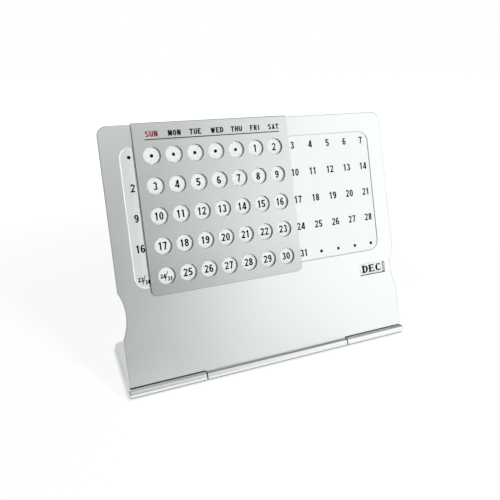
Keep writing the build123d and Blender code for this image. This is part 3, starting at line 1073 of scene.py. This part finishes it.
def pale_floor():
    """Floor material: pale and matt, and partly white of itself where it is seen."""
    finish = Finish("pale_floor")
    finish.shader["Base Color"].default_value = FLOOR_WHITE
    finish.shader["Roughness"].default_value = FLOOR_ROUGHNESS
    finish.shader["Specular IOR Level"].default_value = FLOOR_GLOSS
    glow = finish.node("ShaderNodeEmission")
    glow.inputs["Strength"].default_value = FLOOR_GLOW
    distance = finish.node("ShaderNodeVectorMath", operation="LENGTH")
    finish.link(finish.place, distance.inputs[0])
    far = finish.ramp(distance.outputs["Value"], *FLOOR_FADE, 1 - FLOOR_SHADOW_SHARE, 1.0, "SMOOTHSTEP")
    beyond = []
    for part, half in zip(finish.parts(finish.place), CONTACT_HALVES):
        beyond.append(finish.maths("SUBTRACT", finish.maths("ABSOLUTE", part), half))
    uncovered = finish.ramp(finish.any_of(*beyond), 0.0, CONTACT_FADE)
    mix = finish.node("ShaderNodeMixShader")
    finish.link(finish.all_of(finish.seen(), far, uncovered), mix.inputs["Fac"])
    finish.link(finish.tree.nodes["Principled BSDF"].outputs["BSDF"], mix.inputs[1])
    finish.link(glow.outputs["Emission"], mix.inputs[2])
    finish.link(mix.outputs["Shader"], finish.tree.nodes["Material Output"].inputs["Surface"])
    return finish.material


def facing(place, target):
    """A place turned so that its -Z looks at a target."""
    turn = (Vector(target) - Vector(place)).to_track_quat("-Z", "Y")
    return Matrix.Translation(place) @ turn.to_matrix().to_4x4()


def flat_sheet(name, size, place, material):
    """A flat stage sheet of a size in its place."""
    bm = bmesh.new()
    bmesh.ops.create_grid(bm, x_segments=1, y_segments=1, size=0.5)
    bmesh.ops.transform(bm, verts=bm.verts, matrix=place @ Matrix.Diagonal((*size, 1, 1)))
    sheet = mesh_object(name, bm, material)
    return sheet


def grey_card(name, brightness, size, place):
    """A grey card that is only seen in gloss, which the metal shows. Gives its finish and its glow."""
    finish = Finish(name)
    glow = finish.node("ShaderNodeEmission")
    glow.inputs["Color"].default_value = (*(brightness * share for share in CARD_TINT), 1)
    finish.link(glow.outputs["Emission"], finish.tree.nodes["Material Output"].inputs["Surface"])
    card = flat_sheet(name, size, place, finish.material)
    card.visible_camera = False
    card.visible_diffuse = False
    card.visible_shadow = False
    card.visible_transmission = False
    return finish, glow


def front_wall(stage):
    """A card graded from dark to light up its left half, and even and bright at the right."""
    place = facing(WALL_PLACE, WALL_TARGET)
    finish, glow = grey_card("front_wall", 1.0, (WALL_WIDTH, WALL_TOP), place)
    across, _, rise = finish.parts(finish.place)
    left = finish.ramp(rise, 0.0, WALL_TOP, stage.wall_low, stage.wall_high)
    slanted = finish.maths("MULTIPLY_ADD", rise, -WALL_SLANT, across)
    level = finish.ramp(slanted, *WALL_TURN, left, stage.wall_right, "SMOOTHSTEP")
    finish.link(level, glow.inputs["Strength"])


def key_lamp(power):
    """A square soft lamp at the right, which isn't seen in gloss."""
    light = bpy.data.lights.new("key_lamp", "AREA")
    light.energy = power
    light.size = KEY_SIZE
    lamp = bpy.data.objects.new("key_lamp", light)
    lamp.matrix_world = facing(KEY_PLACE, KEY_TARGET)
    lamp.visible_glossy = False
    bpy.context.scene.collection.objects.link(lamp)


def photo_camera(stage):
    """The camera, where the photograph was taken from."""
    data = bpy.data.cameras.new("camera")
    data.sensor_width = SENSOR_WIDTH
    data.lens = stage.lens
    data.shift_x, data.shift_y = FRAME_SHIFT
    data.clip_start = NEAREST_SEEN
    camera = bpy.data.objects.new("camera", data)
    camera.location = stage.camera_place
    camera.rotation_euler = Euler(stage.camera_turn)
    bpy.context.scene.collection.objects.link(camera)
    bpy.context.scene.camera = camera


class CALENDAR_OT_stage(bpy.types.Operator):
    """Set up the floor, lamp, cards and camera"""

    bl_idname = "calendar.stage"
    bl_label = "Stage"

    def execute(self, context):
        stage = context.scene.calendar_stage
        context.scene.view_settings.view_transform = "Standard"
        white_room(stage.room_light)
        flat_sheet("floor", (FLOOR_SIZE, FLOOR_SIZE), Matrix.Identity(4), pale_floor())
        front_wall(stage)
        for name, (size, place, target) in CARDS.items():
            grey_card(name, getattr(stage, name), size, facing(place, target))
        key_lamp(stage.key_power)
        photo_camera(stage)
        return {"FINISHED"}


class CALENDAR_PT_sidebar(bpy.types.Panel):
    """The calendar's operators, in the order that they run"""

    bl_idname = "CALENDAR_PT_sidebar"
    bl_label = "Desk calendar"
    bl_space_type = "VIEW_3D"
    bl_region_type = "UI"
    bl_category = "Calendar"

    def draw(self, context):
        for operator in OPERATORS:
            self.layout.operator(operator.bl_idname)


SETTINGS = {
    "calendar_print": PrintSettings,
    "calendar_finish": FinishSettings,
    "calendar_stage": StageSettings,
}
OPERATORS = (
    CALENDAR_OT_leaf_and_base,
    CALENDAR_OT_date_slide,
    CALENDAR_OT_hinge_and_pivot,
    CALENDAR_OT_foot_pads,
    CALENDAR_OT_printed_dates,
    CALENDAR_OT_weekday_heads,
    CALENDAR_OT_month_disc,
    CALENDAR_OT_stage,
)
CLASSES = (*SETTINGS.values(), *OPERATORS, CALENDAR_PT_sidebar)


def register():
    for kind in CLASSES:
        bpy.utils.register_class(kind)
    for name, kind in SETTINGS.items():
        setattr(bpy.types.Scene, name, PointerProperty(type=kind))


def unregister():
    for name in SETTINGS:
        delattr(bpy.types.Scene, name)
    for kind in reversed(CLASSES):
        bpy.utils.unregister_class(kind)


def main():
    register()
    for operator in OPERATORS:
        group, name = operator.bl_idname.split(".")
        getattr(getattr(bpy.ops, group), name)()


if __name__ == "__main__":
    main()
